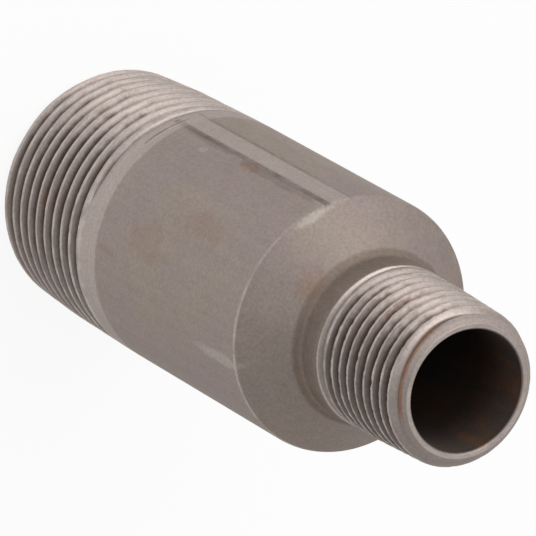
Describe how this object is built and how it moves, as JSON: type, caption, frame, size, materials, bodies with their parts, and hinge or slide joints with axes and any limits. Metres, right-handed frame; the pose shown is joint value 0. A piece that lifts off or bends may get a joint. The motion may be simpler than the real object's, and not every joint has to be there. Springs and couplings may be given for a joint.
{
  "type": "swage nipple",
  "caption": "Concentric reducing pipe nipple in bare steel: wide threaded body, conical shoulder and a narrow threaded neck.",
  "frame": {"origin": "centre of the large end's face", "axes": "+Z along the axis from the large end to the small end; -Y is the side that the picture shows; +X to its right"},
  "size_m": [0.0334, 0.0334, 0.0889],
  "materials": {
    "steel": "bare turned steel with a dull grey-brown mill surface between the threads"
  },
  "bodies": {
    "root": {"swage_nipple": "steel"}
  },
  "joints": []
}
